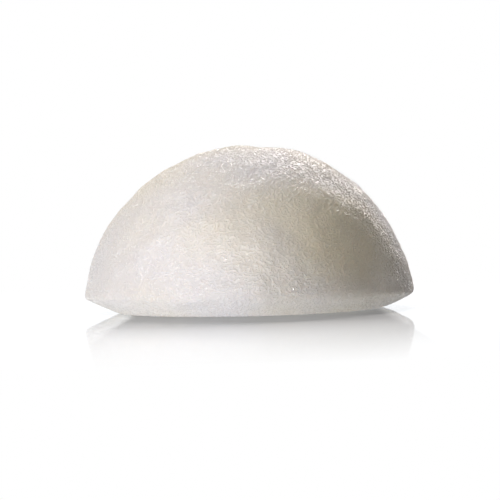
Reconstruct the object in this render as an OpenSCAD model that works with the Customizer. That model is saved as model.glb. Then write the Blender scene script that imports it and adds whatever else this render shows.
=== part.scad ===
// Half-ball konjac sponge: one moulded block of konjac foam.
// A domed crown meets a shallow drawn-in underside at a soft rim, and the
// underside ends in the flat face that the sponge rests on.
// Millimetres, +Z up, origin at the middle of the resting face.

/* [Sponge] */
// Width across the rim, the widest place of the sponge
rim_d = 80; // [72:1:110]
// Height from the resting face to the top of the crown
crown_h = 40; // [24:1:44]
// Radius that the rim's edge is rounded to
rim_edge_r = 1; // [0.4:0.1:3]

/* [Underside] */
// Height of the rim's middle above the resting face
rim_lift = 4.2; // [3.2:0.1:9]
// How far the resting face stays inside the rim, all round
rest_inset = 8.5; // [5:0.5:16]

/* [Colour] */
// Natural off-white of undyed konjac foam
foam_colour = "#E7E1DD"; // ["#E7E1DD", "#F1E6D2", "#DDE3D6"]

/* [Hidden] */
// Smoothness of the drawn curves
$fn = 180;
// How much larger the rim circle is drawn, so that both spheres run cleanly into it
join_overlap = 0.0002;

rim_r = rim_d / 2;
rest_r = rim_r - rest_inset;

// The rim is the outside of a ring of small circles: this is the ring's radius.
rim_ring_r = rim_r - rim_edge_r;
// The crown's rise above the rim's middle
crown_rise = crown_h - rim_lift;

// The crown is part of a sphere that holds the rim circle, touching it from
// inside, and passes through the top point. Its centre is on the axis.
crown_r = (pow(rim_ring_r, 2) + pow(crown_rise, 2) - pow(rim_edge_r, 2))
        / (2 * (crown_rise - rim_edge_r));
crown_centre_z = crown_h - crown_r;

// The underside is part of a larger sphere that holds the rim circle the same
// way and passes through the edge of the resting face.
under_span = pow(rim_ring_r, 2) + pow(rim_lift, 2) - pow(rest_r, 2) - pow(rim_edge_r, 2);
under_depth = pow(rim_lift, 2) - pow(rim_edge_r, 2);
under_centre_z = (rim_lift * under_span
                  + rim_edge_r * sqrt(pow(under_span, 2) + 4 * pow(rest_r, 2) * under_depth))
               / (2 * under_depth);
under_r = norm([rest_r, under_centre_z]);

// Where a sphere centred at this height on the axis leaves the rim circle:
// the far end of the line from its centre through the rim circle's middle.
function touch_point(centre_z) =
    let (ray = [rim_ring_r, rim_lift - centre_z])
    [rim_ring_r, rim_lift] + ray * rim_edge_r / norm(ray);

crown_touch = touch_point(crown_centre_z);
under_touch = touch_point(under_centre_z);

// Half of the section, right of the axis: what both spheres share above the
// resting face, with its sharp tip cut off from one touch point to the other.
module blunt_section() {
    intersection() {
        translate([0, crown_centre_z]) circle(r = crown_r);
        translate([0, under_centre_z]) circle(r = under_r);
        polygon([[0, 0], [rim_r, 0], under_touch, crown_touch,
                 [crown_r, crown_touch[1]], [crown_r, crown_h], [0, crown_h]]);
    }
}

module rim_circle() {
    translate([rim_ring_r, rim_lift]) circle(r = rim_edge_r + join_overlap);
}

// The whole sponge, turned round its axis: moulded in one piece, with nothing inside.
module sponge() {
    color(foam_colour)
        rotate_extrude() {
            blunt_section();
            rim_circle();
        }
}

sponge();
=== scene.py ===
"""The looks of a half-ball konjac sponge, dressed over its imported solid.

Every length is in metres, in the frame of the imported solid: +Z up, with the
origin in the middle of the face that the sponge rests on.
"""

import math

import bpy
from mathutils import Matrix, Vector


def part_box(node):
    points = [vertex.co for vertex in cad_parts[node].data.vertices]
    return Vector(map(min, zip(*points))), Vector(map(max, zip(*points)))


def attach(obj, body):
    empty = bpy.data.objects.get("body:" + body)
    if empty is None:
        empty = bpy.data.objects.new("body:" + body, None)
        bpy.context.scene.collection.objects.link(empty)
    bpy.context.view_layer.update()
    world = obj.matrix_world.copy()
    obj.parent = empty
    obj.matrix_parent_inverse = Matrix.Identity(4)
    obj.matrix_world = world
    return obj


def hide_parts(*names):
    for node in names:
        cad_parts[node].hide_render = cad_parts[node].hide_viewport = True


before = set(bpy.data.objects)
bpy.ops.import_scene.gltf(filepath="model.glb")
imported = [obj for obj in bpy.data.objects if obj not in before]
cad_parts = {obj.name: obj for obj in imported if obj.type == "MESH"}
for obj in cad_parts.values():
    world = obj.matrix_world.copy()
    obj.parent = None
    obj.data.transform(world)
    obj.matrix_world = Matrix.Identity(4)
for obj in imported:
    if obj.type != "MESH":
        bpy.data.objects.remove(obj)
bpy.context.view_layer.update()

MM = 0.001

# The sponge's main sizes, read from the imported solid
LOW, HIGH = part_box("sponge")
RIM_R = (HIGH.x - LOW.x) / 2
HEIGHT = HIGH.z

# How close to the resting face and to the rim a point of the solid has to be to count as on it
FLAT_WITHIN = 0.01 * MM
RIM_WITHIN = 0.02 * MM

# How finely the foam is meshed: squares along each of the six sides of the ball it starts from,
# and how much of its fair share of them the hidden resting face gets
SQUARES = 300
REST_SHARE = 0.3

# How far apart the ridges of the felted skin start, and towards which side they grow taller,
# between which distances, and how tall they are before and after, as shares of their depth
FELT_SPACING = 0.9 * MM
FELT_SIDE = (0.6, 0.52, 0.61)
FELT_RISE = (-8 * MM, 22 * MM)
FELT_SHARES = (0.7, 1.25)

# What the material adds to the skin: the spacing of its grain, how tall felt and grain look to the light,
# and how deep light goes in
SKIN_GRAIN = 0.35 * MM
SKIN_BUMP = 0.095 * MM
SKIN_DEPTH = 1.3 * MM

# A shallow hollow that the photograph shows at the right, and a creamier colour painted in it and around it
# for the warm tone of its shade, full up to the first distance and gone at the second
HOLLOW_PLACE = (23 * MM, -27 * MM, 18 * MM)
HOLLOW_SHADE_TONE = "#EADEC4"
SHADE_TONE_REACH = (4 * MM, 19 * MM)

# The foam's faint colour clouds, cream and rosy, with the shares of the pattern at which each tone is pure.
# Their seed puts the cream on the crown's shaded right and the rosy tone on its lit parts, so they are
# partly painted shade colour
CLOUD_SPACING = 28 * MM
SHADE_CLOUD_SEED = (0.584, 0.376, 0.573)
CLOUD_AND_SHADE_TONES = ((0.33, "#EAE1D1"), (0.71, "#E7E2E2"))

# The photograph is square, and taken with a long lens from just above the surface.
# The last two distances are the nearest and the farthest that the camera sees
SENSOR = 36 * MM
LENS = 120 * MM
CAMERA_DISTANCE = 407 * MM
CAMERA_HEIGHT = 21.6 * MM
CAMERA_SIDE = 0.45 * MM
AIM_HEIGHT = 14.6 * MM
CAMERA_ROLL = math.radians(-1.4)
CAMERA_RANGE = (10 * MM, 20000 * MM)

# The painted shade of the sponge on the sheet's mirror image: where its edge starts and ends at the sides
# and before the sponge, how much nearer it ends for each step to the left, the curve of its front edge,
# and how much of the mirror image is left in it
SHADE_MIDDLE = 1.8 * MM
SHADE_SIDES = (28 * MM, 31 * MM)
SHADE_FRONT = (50 * MM, 135 * MM)
SHADE_SLANT = 0.55
SHADE_CURVE = 0.55
SHADE_TINT = 0.12

# The sheet: half its width, how bright the light is that comes up through it, its colour to the eye and
# in its mirror image, and how pale it is to the light that it throws back on the sponge
SHEET_HALF = 3000 * MM
SHEET_GLOW = 0.64
SHEET_COLOUR = "#F4F4F4"
SHEET_MIRROR = "#F9FCFF"
SHEET_BOUNCE = "#9A9A9A"

# Where the sheet turns to plain white: distances from this middle at which that starts and is done
FADE_MIDDLE = (-15 * MM, 0.0, 0.0)
FADE_START = 60 * MM
FADE_END = 158 * MM

# How far each lamp stands from what it is aimed at, and where most lamps and the flagged one point
LAMP_DISTANCE = 600 * MM
LAMP_AIM = (0.0, 0.0, 0.4 * HEIGHT)
LEFT_FRONT = (-23 * MM, -25 * MM, 18 * MM)


def linear(hex_colour):
    """An sRGB hex colour as linear red, green, blue and alpha."""
    parts = [int(hex_colour[i:i + 2], 16) / 255 for i in (1, 3, 5)]
    return [c / 12.92 if c <= 0.04045 else ((c + 0.055) / 1.055) ** 2.4 for c in parts] + [1.0]


def add(tree, kind, inputs=None, **settings):
    """Adds a node with its settings. An input is a value, a socket, or a node for its first output."""
    node = tree.nodes.new(kind)
    for name, value in settings.items():
        setattr(node, name, value)
    for key, value in (inputs or {}).items():
        if isinstance(value, bpy.types.Node):
            value = value.outputs[0]
        if isinstance(value, bpy.types.NodeSocket):
            tree.links.new(value, node.inputs[key])
        else:
            node.inputs[key].default_value = value
    return node


def solid_sizes(node):
    """Radius of the resting face and height of the rim's middle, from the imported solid's points."""
    points = [v.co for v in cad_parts[node].data.vertices]
    rest_r = max(math.hypot(p.x, p.y) for p in points if p.z < FLAT_WITHIN)
    widest = [p.z for p in points if math.hypot(p.x, p.y) > RIM_R - RIM_WITHIN]
    return rest_r, sum(widest) / len(widest)


REST_R, RIM_Z = solid_sizes("sponge")


def foam_form():
    """The crown's ball and the underside's, and how much area each zone takes.

    The crown's ball passes through the top and the rim, the underside's ball
    through the rim and the edge of the resting face. A slice of a ball has the
    area of the same slice of its cylinder, so area counted down from the top
    gives each zone's height by a division with its band, 2 pi times the radius.
    """
    rise = HEIGHT - RIM_Z
    crown_r = (RIM_R ** 2 + rise ** 2) / (2 * rise)
    under_centre = (RIM_R ** 2 + RIM_Z ** 2 - REST_R ** 2) / (2 * RIM_Z)
    under_r = math.hypot(REST_R, under_centre)
    crown_band, under_band = 2 * math.pi * crown_r, 2 * math.pi * under_r
    crown_area, under_area = crown_band * rise, under_band * RIM_Z
    return {
        "Top Height": HEIGHT,
        "Crown Radius": crown_r,
        "Crown Centre": HEIGHT - crown_r,
        "Crown Band": crown_band,
        "Crown Area": crown_area,
        "Under Radius": under_r,
        "Under Centre": under_centre,
        "Under Band": under_band,
        "Rim Height": RIM_Z,
        "Rest Share": REST_SHARE,
        "Total Area": crown_area + under_area + REST_SHARE * math.pi * REST_R ** 2,
    }


def felt_pattern(tree, place):
    """Thin ridges that wander and cross, like felt. Returns the node with their height, from 0 to 1."""
    wander = add(tree, "ShaderNodeTexNoise", {
        "Vector": place, "Scale": 1 / FELT_SPACING, "Detail": 2.5,
        "Roughness": 0.6, "Offset": 0.9, "Gain": 1.6, "Distortion": 0.5,
    }, noise_type="RIDGED_MULTIFRACTAL", normalize=True)
    return add(tree, "ShaderNodeMapRange", {"Value": wander, "From Min": 0.7, "From Max": 1.4})


def felt_strength(tree, place):
    """The felt stands taller over the upper right, where the photograph's glints are. Returns the node."""
    towards = add(tree, "ShaderNodeVectorMath", {0: place, 1: FELT_SIDE}, operation="DOT_PRODUCT")
    return add(tree, "ShaderNodeMapRange", {
        "Value": towards.outputs["Value"], "From Min": FELT_RISE[0], "From Max": FELT_RISE[1],
        "To Min": FELT_SHARES[0], "To Max": FELT_SHARES[1],
    }, interpolation_type="SMOOTHSTEP")


def ball_on_form(tree, size, place):
    """A ball of even squares, laid onto the sponge's form. Returns it and the way out from the axis."""
    # A cube of squares, blown up to a ball on which the squares stay nearly even
    edge = add(tree, "ShaderNodeMath", {0: size["Squares"], 1: 1}, operation="ADD")
    cube = add(tree, "GeometryNodeMeshCube", {
        "Size": (2, 2, 2), "Vertices X": edge, "Vertices Y": edge, "Vertices Z": edge,
    })
    even = add(tree, "ShaderNodeVectorMath", {0: place, 3: math.pi / 4}, operation="SCALE")
    even = add(tree, "ShaderNodeVectorMath", {0: even}, operation="TANGENT")
    ball = add(tree, "ShaderNodeVectorMath", {0: even}, operation="NORMALIZE")
    ball = add(tree, "ShaderNodeSeparateXYZ", {0: ball}).outputs

    # Area counted from the top, and what is still left of it below
    share = add(tree, "ShaderNodeMath", {0: ball["Z"], 1: -0.5, 2: 0.5}, operation="MULTIPLY_ADD")
    passed = add(tree, "ShaderNodeMath", {0: size["Total Area"], 1: share}, operation="MULTIPLY")
    left = add(tree, "ShaderNodeMath", {0: size["Total Area"], 1: passed}, operation="SUBTRACT")
    below = add(tree, "ShaderNodeMath", {0: passed, 1: size["Crown Area"]}, operation="SUBTRACT")

    # Height and squared distance from the axis on the crown, on the underside and on the resting face
    sunk = add(tree, "ShaderNodeMath", {0: passed, 1: size["Crown Band"]}, operation="DIVIDE")
    crown_z = add(tree, "ShaderNodeMath", {0: size["Top Height"], 1: sunk}, operation="SUBTRACT")
    rise = add(tree, "ShaderNodeMath", {0: crown_z, 1: size["Crown Centre"]}, operation="SUBTRACT")
    rise = add(tree, "ShaderNodeMath", {0: rise, 1: rise}, operation="MULTIPLY")
    crown_r2 = add(tree, "ShaderNodeMath", {0: size["Crown Radius"], 1: 2}, operation="POWER")
    crown_r2 = add(tree, "ShaderNodeMath", {0: crown_r2, 1: rise}, operation="SUBTRACT")
    sunk = add(tree, "ShaderNodeMath", {0: below, 1: size["Under Band"]}, operation="DIVIDE")
    under_z = add(tree, "ShaderNodeMath", {0: size["Rim Height"], 1: sunk}, operation="SUBTRACT")
    fall = add(tree, "ShaderNodeMath", {0: size["Under Centre"], 1: under_z}, operation="SUBTRACT")
    fall = add(tree, "ShaderNodeMath", {0: fall, 1: fall}, operation="MULTIPLY")
    under_r2 = add(tree, "ShaderNodeMath", {0: size["Under Radius"], 1: 2}, operation="POWER")
    under_r2 = add(tree, "ShaderNodeMath", {0: under_r2, 1: fall}, operation="SUBTRACT")
    rest_disc = add(tree, "ShaderNodeMath", {0: size["Rest Share"], 1: math.pi}, operation="MULTIPLY")
    rest_r2 = add(tree, "ShaderNodeMath", {0: left, 1: rest_disc}, operation="DIVIDE")

    # The sponge is what the three zones share
    height = add(tree, "ShaderNodeMath", {0: crown_z, 1: under_z}, operation="MAXIMUM")
    height = add(tree, "ShaderNodeMath", {0: height, 1: 0}, operation="MAXIMUM")
    inner_r2 = add(tree, "ShaderNodeMath", {0: crown_r2, 1: under_r2}, operation="MINIMUM")
    inner_r2 = add(tree, "ShaderNodeMath", {0: inner_r2, 1: rest_r2}, operation="MINIMUM")
    inner_r2 = add(tree, "ShaderNodeMath", {0: inner_r2, 1: 0}, operation="MAXIMUM")
    flat_spot = add(tree, "ShaderNodeCombineXYZ", {"X": ball["X"], "Y": ball["Y"]})
    heading = add(tree, "ShaderNodeVectorMath", {0: flat_spot}, operation="NORMALIZE")
    radius = add(tree, "ShaderNodeMath", {0: inner_r2}, operation="SQRT")
    ring = add(tree, "ShaderNodeVectorMath", {0: heading, 3: radius}, operation="SCALE")
    lift = add(tree, "ShaderNodeCombineXYZ", {"Z": height})
    form = add(tree, "ShaderNodeVectorMath", {0: ring, 1: lift}, operation="ADD")
    return add(tree, "GeometryNodeSetPosition", {"Geometry": cube, "Position": form}), heading


def soft_rim(tree, size, place, form, heading):
    """The rim, rounded a little at the sides and more at the front and back, and drooping at both sides."""
    spot = add(tree, "ShaderNodeSeparateXYZ", {0: heading}).outputs
    facing = add(tree, "ShaderNodeMath", {0: spot["Y"], 1: 2}, operation="POWER")
    ease = add(tree, "ShaderNodeMapRange", {
        "Value": facing, "From Min": 0.1, "From Max": 0.7,
        "To Min": size["Side Rounding"], "To Max": 1.0,
    }, interpolation_type="SMOOTHSTEP")
    softened = add(tree, "GeometryNodeBlurAttribute", {
        "Value": place, "Iterations": size["Rim Passes"], "Weight": ease,
    }, data_type="FLOAT_VECTOR")
    form = add(tree, "GeometryNodeSetPosition", {"Geometry": form, "Position": softened})

    # It droops more on the right
    spot = add(tree, "ShaderNodeSeparateXYZ", {0: place}).outputs
    aside = add(tree, "ShaderNodeMath", {0: spot["X"], 1: size["Sag Shift"]}, operation="ADD")
    aside = add(tree, "ShaderNodeMath", {0: aside}, operation="ABSOLUTE")
    sag = add(tree, "ShaderNodeMapRange", {
        "Value": aside, "From Min": size["Sag Start"], "From Max": size["Sag End"],
        "To Min": 0.0, "To Max": size["Sag"],
    }, interpolation_type="SMOOTHSTEP")
    low = add(tree, "ShaderNodeMapRange", {
        "Value": spot["Z"], "From Min": size["Rim Height"], "From Max": size["Sag Reach"],
        "To Min": -1.0, "To Max": 0.0,
    }, interpolation_type="SMOOTHSTEP")
    sag = add(tree, "ShaderNodeMath", {0: sag, 1: low}, operation="MULTIPLY")
    sag = add(tree, "ShaderNodeCombineXYZ", {"Z": sag})
    return add(tree, "GeometryNodeSetPosition", {"Geometry": form, "Offset": sag})


def skin_relief(tree, size, place):
    """How far the skin stands out: lumps, dents, the hollow, felted ridges and a fine grain."""
    # Low lumps, and dents that a fingertip would feel
    spot = add(tree, "ShaderNodeVectorMath", {0: place, 1: size["Lump Seed"]}, operation="ADD")
    scale = add(tree, "ShaderNodeMath", {0: 1, 1: size["Lump Spacing"]}, operation="DIVIDE")
    lumps = add(tree, "ShaderNodeTexNoise", {
        "Vector": spot, "Scale": scale, "Detail": 1.5, "Roughness": 0.4,
    })
    spot = add(tree, "ShaderNodeVectorMath", {0: place, 1: size["Dent Seed"]}, operation="ADD")
    scale = add(tree, "ShaderNodeMath", {0: 1, 1: size["Dent Spacing"]}, operation="DIVIDE")
    dents = add(tree, "ShaderNodeTexNoise", {
        "Vector": spot, "Scale": scale, "Detail": 1.0, "Roughness": 0.5,
    })
    away = add(tree, "ShaderNodeVectorMath", {0: place, 1: size["Hollow Place"]}, operation="DISTANCE")
    hollow = add(tree, "ShaderNodeMapRange", {
        "Value": away.outputs["Value"], "From Min": 0.0, "From Max": size["Hollow Reach"],
        "To Min": size["Hollow Depth"], "To Max": 0.0,
    }, interpolation_type="SMOOTHSTEP")
    relief = add(tree, "ShaderNodeMath", {0: hollow, 1: size["Skin Sink"]}, operation="ADD")
    relief = add(tree, "ShaderNodeMath", {0: relief, 1: -1}, operation="MULTIPLY")
    for layer, depth in ((lumps, "Lump Depth"), (dents, "Dent Depth")):
        swing = add(tree, "ShaderNodeMath", {0: layer, 1: 0.5}, operation="SUBTRACT")
        relief = add(tree, "ShaderNodeMath", {
            0: swing, 1: size[depth], 2: relief,
        }, operation="MULTIPLY_ADD")

    # The foam's own weight presses these wide waves out of the underside
    above = add(tree, "ShaderNodeSeparateXYZ", {0: place}).outputs["Z"]
    free = add(tree, "ShaderNodeMapRange", {
        "Value": above, "From Min": 0.0, "From Max": size["Press Height"],
    })
    relief = add(tree, "ShaderNodeMath", {0: relief, 1: free}, operation="MULTIPLY")

    # Felt and grain run over all of it
    strength = felt_strength(tree, place)
    scale = add(tree, "ShaderNodeMath", {0: 1, 1: size["Grain Spacing"]}, operation="DIVIDE")
    grain = add(tree, "ShaderNodeTexNoise", {"Vector": place, "Scale": scale, "Detail": 1.0})
    for layer, depth in ((felt_pattern(tree, place), "Felt Depth"), (grain, "Grain Depth")):
        swing = add(tree, "ShaderNodeMath", {0: layer, 1: 0.5}, operation="SUBTRACT")
        swing = add(tree, "ShaderNodeMath", {0: swing, 1: strength}, operation="MULTIPLY")
        relief = add(tree, "ShaderNodeMath", {
            0: swing, 1: size[depth], 2: relief,
        }, operation="MULTIPLY_ADD")
    return relief


def foam_shape_tree(sizes):
    """Geometry Nodes: a ball of even squares, laid onto the sponge's form and roughened."""
    tree = bpy.data.node_groups.new("konjac foam shape", "GeometryNodeTree")
    kinds = {
        int: "NodeSocketInt",
        float: "NodeSocketFloat",
        tuple: "NodeSocketVector",
        bpy.types.Material: "NodeSocketMaterial",
    }
    for name, value in sizes.items():
        tree.interface.new_socket(name, in_out="INPUT", socket_type=kinds[type(value)])
    tree.interface.new_socket("Geometry", in_out="OUTPUT", socket_type="NodeSocketGeometry")
    size = add(tree, "NodeGroupInput").outputs
    place = add(tree, "GeometryNodeInputPosition")

    form, heading = ball_on_form(tree, size, place)
    form = soft_rim(tree, size, place, form, heading)

    # The material keeps to the smooth form, so that its pattern lies on the ridges
    form = add(tree, "GeometryNodeStoreNamedAttribute", {
        "Geometry": form, "Name": "skin_place", "Value": place,
    }, data_type="FLOAT_VECTOR", domain="POINT")
    normal = add(tree, "GeometryNodeInputNormal")
    push = add(tree, "ShaderNodeVectorMath", {
        0: normal, 3: skin_relief(tree, size, place),
    }, operation="SCALE")
    rough = add(tree, "GeometryNodeSetPosition", {"Geometry": form, "Offset": push})

    # The resting face stays flat: nothing reaches below it
    pressed = add(tree, "ShaderNodeVectorMath", {0: place, 1: (-1.0, -1.0, 0.0)}, operation="MAXIMUM")
    rough = add(tree, "GeometryNodeSetPosition", {"Geometry": rough, "Position": pressed})
    shaded = add(tree, "GeometryNodeSetShadeSmooth", {"Geometry": rough, "Shade Smooth": True})
    whole = add(tree, "GeometryNodeRealizeInstances", {"Geometry": shaded})
    coated = add(tree, "GeometryNodeSetMaterial", {"Geometry": whole, "Material": size["Foam"]})
    add(tree, "NodeGroupOutput", {"Geometry": coated})
    return tree


def make_from_tree(name, tree, values):
    """Runs a Geometry Nodes tree on an empty object and keeps the result as a plain mesh."""
    holder = bpy.data.objects.new("tree_holder", bpy.data.meshes.new("tree_holder"))
    bpy.context.scene.collection.objects.link(holder)
    modifier = holder.modifiers.new("shape", "NODES")
    modifier.node_group = tree
    identifiers = {item.name: item.identifier for item in tree.interface.items_tree
                   if item.in_out == "INPUT"}
    for key, value in values.items():
        modifier[identifiers[key]] = value
    depsgraph = bpy.context.evaluated_depsgraph_get()
    mesh = bpy.data.meshes.new_from_object(holder.evaluated_get(depsgraph))
    mesh.name = name
    bpy.data.objects.remove(holder)
    piece = bpy.data.objects.new(name, mesh)
    bpy.context.scene.collection.objects.link(piece)
    return piece


def konjac_foam():
    """Undyed konjac foam, frozen and thawed in its mould: a matte, felted, faintly see-through skin."""
    material = bpy.data.materials.new("konjac foam, moulded, undyed")
    material.use_nodes = True
    tree = material.node_tree
    tree.nodes.clear()
    place = add(tree, "ShaderNodeAttribute", attribute_name="skin_place").outputs["Vector"]

    # Faint rosy and cream clouds, partly as the gel dried and partly painted shade colour: the cream lies
    # where the shade falls on the right
    spot = add(tree, "ShaderNodeVectorMath", {0: place, 1: SHADE_CLOUD_SEED}, operation="ADD")
    cloud_and_shade = add(tree, "ShaderNodeTexNoise", {
        "Vector": spot, "Scale": 1 / CLOUD_SPACING, "Detail": 1.0, "Roughness": 0.5,
    })
    tone = add(tree, "ShaderNodeValToRGB", {"Fac": cloud_and_shade})
    for stop, (share, cloud_tone) in zip(tone.color_ramp.elements, CLOUD_AND_SHADE_TONES):
        stop.position = share
        stop.color = linear(cloud_tone)

    # Painted shade colour: a creamier tone in the hollow and around it, where the crown's warm shade falls
    away = add(tree, "ShaderNodeVectorMath", {0: place, 1: HOLLOW_PLACE}, operation="DISTANCE")
    shade_tone_mask = add(tree, "ShaderNodeMapRange", {
        "Value": away.outputs["Value"], "From Min": SHADE_TONE_REACH[0], "From Max": SHADE_TONE_REACH[1],
        "To Min": 1.0, "To Max": 0.0,
    }, interpolation_type="SMOOTHSTEP")
    tone = add(tree, "ShaderNodeMix", {
        "Factor": shade_tone_mask, 6: tone, 7: linear(HOLLOW_SHADE_TONE),
    }, data_type="RGBA").outputs[2]

    # The felt's ridges are glossier than the pits between them. Its colour is paler on the ridges and
    # darker in the pits, partly the foam's own and partly painted shade of the relief
    felt = felt_pattern(tree, place)
    shade = add(tree, "ShaderNodeMapRange", {"Value": felt, "To Min": 0.96, "To Max": 1.11})
    colour = add(tree, "ShaderNodeVectorMath", {0: tone, 3: shade}, operation="SCALE")
    rough = add(tree, "ShaderNodeMapRange", {
        "Value": felt, "From Max": 0.6, "To Min": 0.42, "To Max": 0.15,
    })

    # Felt and a weaker grain tilt the light too, where they are finer than the mesh
    grain = add(tree, "ShaderNodeTexNoise", {"Vector": place, "Scale": 1 / SKIN_GRAIN, "Detail": 1.0})
    height = add(tree, "ShaderNodeMath", {0: felt, 1: felt_strength(tree, place)}, operation="MULTIPLY")
    height = add(tree, "ShaderNodeMath", {0: grain, 1: 0.4, 2: height}, operation="MULTIPLY_ADD")
    bump = add(tree, "ShaderNodeBump", {"Height": height, "Distance": SKIN_BUMP, "Strength": 1.0})
    surface = add(tree, "ShaderNodeBsdfPrincipled", {
        "Base Color": colour,
        "Roughness": rough,
        "IOR": 1.5,
        "Normal": bump,
        "Subsurface Weight": 0.4,
        "Subsurface Radius": (1.0, 0.86, 0.7),
        "Subsurface Scale": SKIN_DEPTH,
        "Sheen Weight": 0.3,
        "Sheen Roughness": 0.4,
    })
    add(tree, "ShaderNodeOutputMaterial", {"Surface": surface})
    return material


def make_sponge():
    """The foam body, in place of the plain solid."""
    sizes = {
        **foam_form(),
        "Side Rounding": 0.1,
        "Rim Passes": 300,
        "Sag": 0.55 * MM,
        "Sag Shift": 2.5 * MM,
        "Sag Start": 30 * MM,
        "Sag End": RIM_R,
        "Sag Reach": 16 * MM,
        "Skin Sink": 0.05 * MM,
        "Hollow Place": HOLLOW_PLACE,
        "Hollow Reach": 12 * MM,
        "Hollow Depth": 0.75 * MM,
        "Lump Spacing": 18 * MM,
        "Lump Depth": 1.64 * MM,
        "Lump Seed": (0.037, 0.086, 0.122),
        "Dent Spacing": 6.5 * MM,
        "Dent Depth": 1.04 * MM,
        "Dent Seed": (0.554, 0.325, 0.211),
        "Press Height": 4 * MM,
        "Felt Depth": 0.14 * MM,
        "Grain Spacing": 0.4 * MM,
        "Grain Depth": 0.09 * MM,
        "Squares": SQUARES,
        "Foam": konjac_foam(),
    }
    piece = make_from_tree("sponge_foam", foam_shape_tree(sizes), sizes)
    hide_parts("sponge")
    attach(piece, "root")


def for_the_eye(tree, seen, other):
    """Mixes two shaders: camera, mirrors and glass see the first, and other light meets the second."""
    ray = add(tree, "ShaderNodeLightPath").outputs
    eye = ray["Is Camera Ray"]
    for kind in ("Is Glossy Ray", "Is Transmission Ray"):
        eye = add(tree, "ShaderNodeMath", {0: eye, 1: ray[kind]}, operation="MAXIMUM")
    return add(tree, "ShaderNodeMixShader", {0: eye, 1: other, 2: seen})


def make_world():
    """A white surround for the eye that throws no light of its own on the sponge."""
    world = bpy.data.worlds.new("white studio")
    bpy.context.scene.world = world
    world.use_nodes = True
    tree = world.node_tree
    tree.nodes.clear()
    white = add(tree, "ShaderNodeBackground", {"Color": (1, 1, 1, 1), "Strength": 1.0})
    dark = add(tree, "ShaderNodeBackground", {"Color": (0, 0, 0, 1), "Strength": 0.0})
    add(tree, "ShaderNodeOutputWorld", {"Surface": for_the_eye(tree, white, dark)})


def sheet_mirror(tree, place):
    """The sheet's mirror image, dimmed by a painted shade of the sponge, under it and before it."""
    spot = add(tree, "ShaderNodeSeparateXYZ", {0: place}).outputs
    aside = add(tree, "ShaderNodeMath", {0: spot["X"], 1: SHADE_MIDDLE}, operation="SUBTRACT")
    aside = add(tree, "ShaderNodeMath", {0: aside}, operation="ABSOLUTE")
    aside = add(tree, "ShaderNodeMapRange", {
        "Value": aside, "From Min": SHADE_SIDES[0], "From Max": SHADE_SIDES[1],
    }, interpolation_type="SMOOTHSTEP")
    before = add(tree, "ShaderNodeMath", {0: spot["Y"]}, operation="ABSOLUTE")
    leftward = add(tree, "ShaderNodeMath", {0: spot["X"], 1: 0.0}, operation="MINIMUM")
    before = add(tree, "ShaderNodeMath", {
        0: leftward, 1: -SHADE_SLANT, 2: before,
    }, operation="MULTIPLY_ADD")
    before = add(tree, "ShaderNodeMapRange", {
        "Value": before, "From Min": SHADE_FRONT[0], "From Max": SHADE_FRONT[1],
    })
    before = add(tree, "ShaderNodeMath", {0: before, 1: SHADE_CURVE}, operation="POWER")
    unshaded = add(tree, "ShaderNodeMath", {0: aside, 1: before}, operation="MAXIMUM")
    # Painted shade: the mirror is dimmed by where on the sheet it lies, not by the lamps
    tint = add(tree, "ShaderNodeMapRange", {"Value": unshaded, "To Min": SHADE_TINT, "To Max": 1.0})
    tint = add(tree, "ShaderNodeVectorMath", {0: linear(SHEET_MIRROR)[:3], 3: tint}, operation="SCALE")
    return add(tree, "ShaderNodeBsdfGlossy", {"Color": tint, "Roughness": 0.03})


def acrylic_sheet():
    """Opal white acrylic, polished and lit from below: a mirror close by, and plain white farther out."""
    material = bpy.data.materials.new("acrylic sheet, polished, opal white")
    material.use_nodes = True
    tree = material.node_tree
    tree.nodes.clear()
    place = add(tree, "ShaderNodeTexCoord").outputs["Object"]

    # Light from above, and light that comes up through the sheet
    white = add(tree, "ShaderNodeBsdfDiffuse", {"Color": linear(SHEET_COLOUR)})
    glow = add(tree, "ShaderNodeEmission", {"Color": (1, 1, 1, 1), "Strength": SHEET_GLOW})
    body = add(tree, "ShaderNodeAddShader", {0: white, 1: glow})
    gloss = add(tree, "ShaderNodeFresnel", {"IOR": 1.49})
    polished = add(tree, "ShaderNodeMixShader", {0: gloss, 1: body, 2: sheet_mirror(tree, place)})

    # Plain white farther out, and a duller white for the light that it throws back on the sponge
    reach = add(tree, "ShaderNodeVectorMath", {0: place, 1: FADE_MIDDLE}, operation="DISTANCE")
    fade = add(tree, "ShaderNodeMapRange", {
        "Value": reach.outputs["Value"], "From Min": FADE_START, "From Max": FADE_END,
    })
    plain = add(tree, "ShaderNodeEmission", {"Color": (1, 1, 1, 1), "Strength": 1.0})
    look = add(tree, "ShaderNodeMixShader", {0: fade, 1: polished, 2: plain})
    matte = add(tree, "ShaderNodeBsdfDiffuse", {"Color": linear(SHEET_BOUNCE)})
    topside = for_the_eye(tree, look, matte)

    # From below the sheet is clear, so that the sponge's underside can be looked at
    behind = add(tree, "ShaderNodeNewGeometry").outputs["Backfacing"]
    clear = add(tree, "ShaderNodeBsdfTransparent")
    surface = add(tree, "ShaderNodeMixShader", {0: behind, 1: topside, 2: clear})
    add(tree, "ShaderNodeOutputMaterial", {"Surface": surface})
    return material


def make_floor():
    """The sheet that the sponge rests on. The lamps beneath it shine through."""
    mesh = bpy.data.meshes.new("floor")
    corners = [(x * SHEET_HALF, y * SHEET_HALF, 0) for x, y in ((-1, -1), (1, -1), (1, 1), (-1, 1))]
    mesh.from_pydata(corners, [], [(0, 1, 2, 3)])
    mesh.materials.append(acrylic_sheet())
    floor = bpy.data.objects.new("floor", mesh)
    bpy.context.scene.collection.objects.link(floor)
    floor.visible_shadow = False


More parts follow.
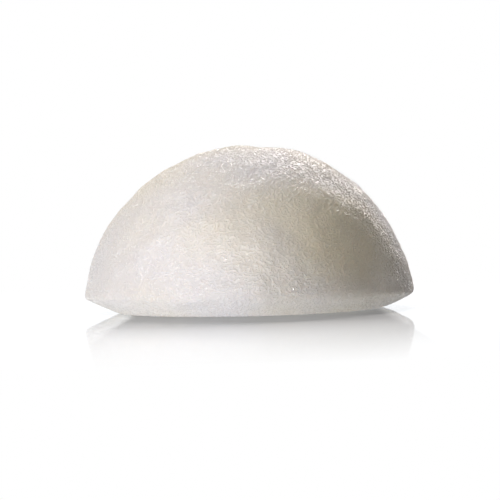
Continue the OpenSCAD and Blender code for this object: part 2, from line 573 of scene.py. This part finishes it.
def make_softbox(name, azimuth, elevation, side, watts, colour="#FFFFFF", spread=180, aim=LAMP_AIM):
    """A square lamp turned to its aim. Angles are in degrees, with 0 the camera's side and 90 the right."""
    a, e = math.radians(azimuth), math.radians(elevation)
    lamp = bpy.data.lights.new(name, "AREA")
    lamp.shape = "SQUARE"
    lamp.size = side
    lamp.energy = watts
    lamp.color = linear(colour)[:3]
    lamp.spread = math.radians(spread)
    holder = bpy.data.objects.new(name, lamp)
    towards = Vector((math.sin(a) * math.cos(e), -math.cos(a) * math.cos(e), math.sin(e)))
    holder.location = Vector(aim) + towards * LAMP_DISTANCE
    holder.rotation_euler = towards.to_track_quat("Z", "Y").to_euler()
    bpy.context.scene.collection.objects.link(holder)


def make_lamps():
    """Small lamps behind the sponge bring out its glints, and two beneath the sheet light its underside."""
    make_softbox("left", -71, 47, 140 * MM, 1.33, "#FFFBF8")
    make_softbox("back_left", -130, 48, 300 * MM, 0.25, "#FFFBF8")
    make_softbox("back", 170, 48, 80 * MM, 1.15, "#FFF9F9")
    make_softbox("back_middle", 157, 38, 80 * MM, 1.0, "#FFF8F7")
    make_softbox("back_right", 145, 27, 80 * MM, 0.54, "#FFF6F4")
    make_softbox("right", 95, 5, 80 * MM, 0.2, "#FFFBF6")
    make_softbox("under_left", -120, -50, 300 * MM, 0.8, "#F8FCFF")
    make_softbox("under_front", -43, -50, 300 * MM, 1.24, "#F8FCFF")
    make_softbox("flagged", 0, 4, 40 * MM, 0.0132, spread=12, aim=LEFT_FRONT)


def make_camera():
    """The photograph's view: from the front, just above the surface, turned a little."""
    camera = bpy.data.cameras.new("camera")
    camera.sensor_width = SENSOR / MM
    camera.lens = LENS / MM
    camera.clip_start, camera.clip_end = CAMERA_RANGE
    holder = bpy.data.objects.new("camera", camera)
    holder.location = (CAMERA_SIDE, -CAMERA_DISTANCE, CAMERA_HEIGHT)
    look = Vector((CAMERA_SIDE, 0, AIM_HEIGHT)) - holder.location
    upright = look.to_track_quat("-Z", "Y").to_matrix()
    holder.rotation_euler = (upright @ Matrix.Rotation(CAMERA_ROLL, 3, "Z")).to_euler()
    bpy.context.scene.collection.objects.link(holder)
    bpy.context.scene.camera = holder


bpy.context.scene.view_settings.view_transform = "Standard"
make_camera()
make_sponge()
make_floor()
make_world()
make_lamps()
